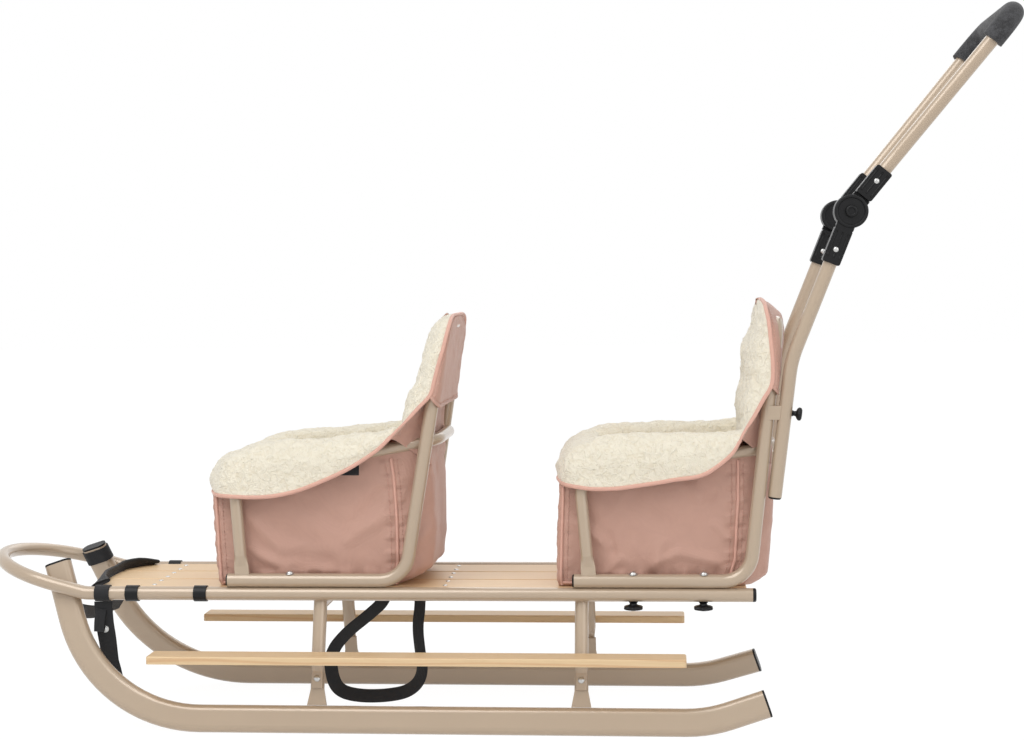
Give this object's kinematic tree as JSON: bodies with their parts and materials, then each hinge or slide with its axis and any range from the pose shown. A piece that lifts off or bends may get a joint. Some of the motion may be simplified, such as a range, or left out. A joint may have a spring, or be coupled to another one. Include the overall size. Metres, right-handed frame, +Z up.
{
  "type": "child's push sled",
  "caption": "Child's sled of bent steel tube with pine slats and footboards, fleece-lined bucket seats and a folding push handle.",
  "frame": {"origin": "on the ground, below the middle of the overall length", "axes": "+X to the rear, where the push handle is; +Y to the sled's right; +Z up"},
  "size_m": [1.5405, 0.3722, 1.039],
  "materials": {
    "painted_tube": "satin",
    "pine": "clear satin varnish",
    "black_plastic": "matt moulded",
    "grip_foam": "matt foam",
    "seat_cloth": "coated nylon",
    "fleece": "curled pile",
    "webbing": "woven polyester"
  },
  "bodies": {
    "root": {"deck_battens": "painted_tube", "deck_rail_loop": "painted_tube", "footboard_left": "pine", "footboard_right": "pine", "front_seat_back_pad": "fleece", "front_seat_bag": "seat_cloth", "front_seat_collar": "fleece", "front_seat_frame": "painted_tube", "front_seat_hoop": "painted_tube", "hinge_lower_left": "black_plastic", "hinge_lower_right": "black_plastic", "leg_brackets": "painted_tube", "legs_front": "painted_tube", "legs_rear": "painted_tube", "pusher_clamps": "painted_tube", "pusher_knobs": "black_plastic", "pusher_tube_left": "painted_tube", "pusher_tube_right": "painted_tube", "rail_bands": "black_plastic", "rail_plugs": "black_plastic", "rear_seat_back_pad": "fleece", "rear_seat_bag": "seat_cloth", "rear_seat_collar": "fleece", "rear_seat_frame": "painted_tube", "rear_seat_hoop": "painted_tube", "runner_caps": "black_plastic", "runner_left": "painted_tube", "runner_right": "painted_tube", "seat_knobs": "black_plastic", "slat_left": "pine", "slat_middle": "pine", "slat_right": "pine", "strap_cross": "webbing", "strap_loop": "webbing", "strap_tail": "webbing", "strap_wraps": "webbing"},
    "handle": {"handle_grip": "grip_foam", "handle_tube": "painted_tube", "hinge_upper_left": "black_plastic", "hinge_upper_right": "black_plastic"}
  },
  "joints": [
    {"name": "handle_fold", "type": "hinge", "parent": "root", "child": "handle", "pos_m": [0.52703, 0, 0.7464], "axis": [0, 1, 0], "range_deg": [-100, 95]}
  ]
}
